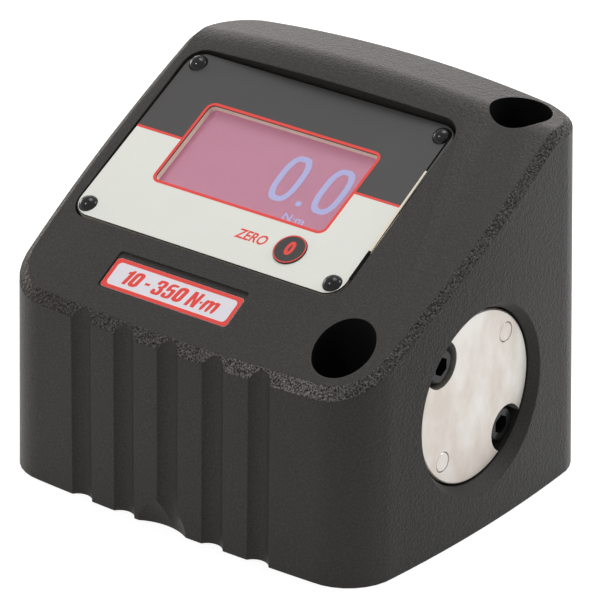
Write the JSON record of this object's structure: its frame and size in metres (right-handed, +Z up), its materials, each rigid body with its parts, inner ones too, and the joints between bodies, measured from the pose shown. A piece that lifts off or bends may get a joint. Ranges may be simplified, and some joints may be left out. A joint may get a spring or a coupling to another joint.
{
  "type": "torque tester",
  "caption": "Bench torque tester in a black sloping casting with a digital display, a zero key, a square drive socket on one flank and the transducer flange on the other.",
  "frame": {"origin": "middle of the bounding box on the foot plane", "axes": "+X towards the flank with the transducer flange, +Y from the front wall to the rear wall, +Z up; the drive axis runs along X"},
  "size_m": [0.1336, 0.1116, 0.1092],
  "materials": {
    "casting_paint": "textured",
    "cover_paint": "satin",
    "black_steel": "satin",
    "steel": "satin",
    "bronze": "satin",
    "panel_board": "matte",
    "panel_film": "satin",
    "black_rubber": "matte",
    "clear_glass": "gloss",
    "display_glass": "gloss",
    "backlight": "matte",
    "circuit_board": "satin",
    "black_plastic": "matte",
    "key_plastic": "gloss",
    "label_film": "gloss",
    "spacer_metal": "satin",
    "gauge_film": "satin",
    "grey_cable": "matte",
    "red_wire": "matte"
  },
  "bodies": {
    "casing": {"housing": "casting_paint", "base_cover": "cover_paint", "base_screws": "black_steel", "front_panel": "panel_board", "panel_overlay": "panel_film", "panel_gasket": "black_rubber", "panel_screws": "black_steel", "display_window": "clear_glass", "lcd_glass": "display_glass", "lcd_backlight": "backlight", "display_board": "circuit_board", "display_spacers": "spacer_metal", "display_screws": "steel", "zero_switch": "black_plastic", "range_label": "label_film", "transducer": "steel", "transducer_screws": "black_steel", "dowel_pins": "steel", "drive_bush": "bronze", "drive_seal": "black_rubber", "retaining_ring": "steel", "strain_gauges": "gauge_film", "gauge_terminal": "gauge_film", "gauge_cable": "grey_cable", "main_board": "circuit_board", "main_board_parts": "black_plastic", "board_spacers": "bronze", "board_screws": "steel", "ribbon_cable": "grey_cable", "power_socket": "black_plastic", "power_nut": "steel", "power_wires": "red_wire"},
    "key": {"zero_key": "key_plastic", "switch_plunger": "black_plastic"}
  },
  "joints": [
    {"name": "zero_key_press", "type": "slide", "parent": "casing", "child": "key", "axis": [0, 0.4741, -0.8805], "range_m": [0, 0.0004], "stiffness_N_per_m": 1500, "springref_m": -0.0005}
  ]
}
